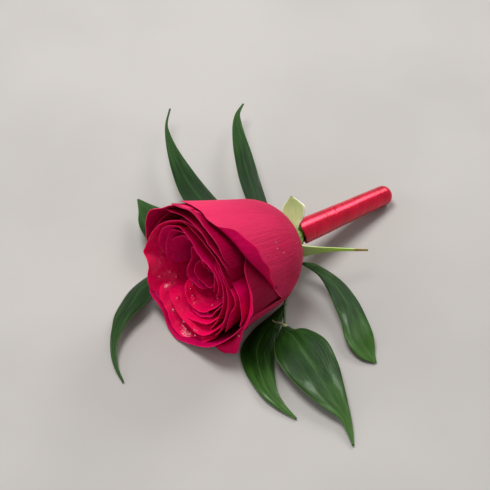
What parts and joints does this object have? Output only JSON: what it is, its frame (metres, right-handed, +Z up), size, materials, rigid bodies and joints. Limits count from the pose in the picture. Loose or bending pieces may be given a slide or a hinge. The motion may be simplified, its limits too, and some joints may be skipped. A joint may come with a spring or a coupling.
{
  "type": "boutonniere",
  "caption": "Red rose boutonniere lying on its side, with glossy ruscus leaves fanned round the bloom and its stems bound in a red satin ribbon sleeve",
  "frame": {"origin": "on the surface, under the middle of the part's outline", "axes": "+Z up, the bloom faces -Y and the ribbon-bound stems run towards +Y"},
  "size_m": [0.1558, 0.1235, 0.0484],
  "materials": {
    "petals": "velvety fresh petal, crimson inside and pinker outside, with water drops",
    "rose_green": "fresh green stem and sepals with cream edges",
    "ruscus_leaf": "glossy dark green leaf with fine lengthwise veins",
    "floral_tape": "waxed crepe tape, matt green",
    "satin_ribbon": "red satin, wrapped and glued"
  },
  "bodies": {
    "root": {"rose_bloom": "petals", "rose_stem": "rose_green", "far_ruscus_sprig": "ruscus_leaf", "near_ruscus_sprig": "ruscus_leaf", "floral_tape": "floral_tape", "ribbon_sleeve": "satin_ribbon"}
  },
  "joints": []
}
